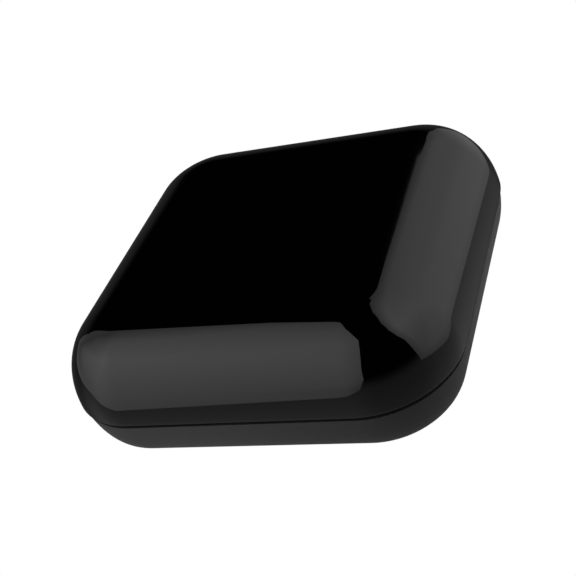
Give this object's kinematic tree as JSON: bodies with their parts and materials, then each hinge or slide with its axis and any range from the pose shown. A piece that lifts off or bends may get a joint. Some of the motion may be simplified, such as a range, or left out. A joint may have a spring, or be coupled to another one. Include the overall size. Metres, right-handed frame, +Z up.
{
  "type": "streaming media player",
  "caption": "Square media player box with rounded corners: gloss black cover over a tapered matt base, sockets and a small reset button on the rear panel.",
  "frame": {"origin": "centre of the plane that the foot rests on", "axes": "+Z up, +Y to the rear where the sockets are, +X to the right seen from the front"},
  "size_m": [0.089, 0.089, 0.029],
  "materials": {
    "gloss_cover": "polished",
    "matt_base": "fine spark texture",
    "rubber_foot": "matt",
    "label": "matt film",
    "dark_steel": "black zinc",
    "bright_steel": "zinc plated",
    "board": "solder mask",
    "chip_black": "moulded",
    "ferrite": "matt",
    "ceramic_tan": "satin",
    "can_aluminium": "satin",
    "tinned_steel": "tinned",
    "spreader_aluminium": "satin",
    "brass_post": "satin",
    "thermal_pad": "matt",
    "gold_plate": "gold flash",
    "lead_jacket": "satin",
    "antenna_film": "film on copper",
    "socket_plastic": "moulded",
    "nickel_pin": "nickel plated",
    "button_plastic": "moulded",
    "receiver_resin": "clear dark resin",
    "light_lens": "cast resin",
    "light_guide": "clear acrylic"
  },
  "bodies": {
    "case": {"antenna_lead_left": "lead_jacket", "antenna_lead_right": "lead_jacket", "antenna_left": "antenna_film", "antenna_right": "antenna_film", "base_shell": "matt_base", "board_screws": "bright_steel", "case_screws": "dark_steel", "chip_capacitors": "ceramic_tan", "chip_pad": "thermal_pad", "chip_resistors": "chip_black", "coax_plugs": "gold_plate", "crystals": "bright_steel", "electrolytic_capacitors": "can_aluminium", "flash_chip": "chip_black", "foot_pad": "rubber_foot", "heat_spreader": "spreader_aluminium", "inductors": "ferrite", "lid_pad": "thermal_pad", "light_guide": "light_guide", "main_board": "board", "memory_chips": "chip_black", "network_socket_contacts": "gold_plate", "network_socket_housing": "socket_plastic", "network_socket_screen": "tinned_steel", "network_transformer": "chip_black", "power_centre_pin": "nickel_pin", "power_chips": "chip_black", "power_side_contact": "gold_plate", "power_socket_body": "socket_plastic", "processor": "chip_black", "rating_label": "label", "rear_panel": "matt_base", "remote_receiver": "receiver_resin", "reset_switch_body": "socket_plastic", "shield_frame": "tinned_steel", "shield_lid": "tinned_steel", "spreader_screws": "bright_steel", "spreader_standoffs": "brass_post", "status_light": "light_lens", "top_cover": "gloss_cover", "video_socket_contacts": "gold_plate", "video_socket_shell": "tinned_steel", "video_socket_tongue": "socket_plastic", "wireless_module": "board", "wireless_shield": "tinned_steel"},
    "reset_button": {"reset_button": "button_plastic"},
    "reset_switch_stem": {"reset_switch_stem": "button_plastic"}
  },
  "joints": [
    {"name": "reset_press", "type": "slide", "parent": "case", "child": "reset_button", "axis": [0, -1, 0], "range_m": [0, 0.0003], "stiffness_N_per_m": 2500, "springref_m": -0.0002},
    {"name": "switch_press", "type": "slide", "parent": "case", "child": "reset_switch_stem", "axis": [0, -1, 0], "range_m": [0, 0.0003]}
  ],
  "couplings": [
    {"joint": "switch_press", "follows": "reset_press", "ratio": 1}
  ]
}
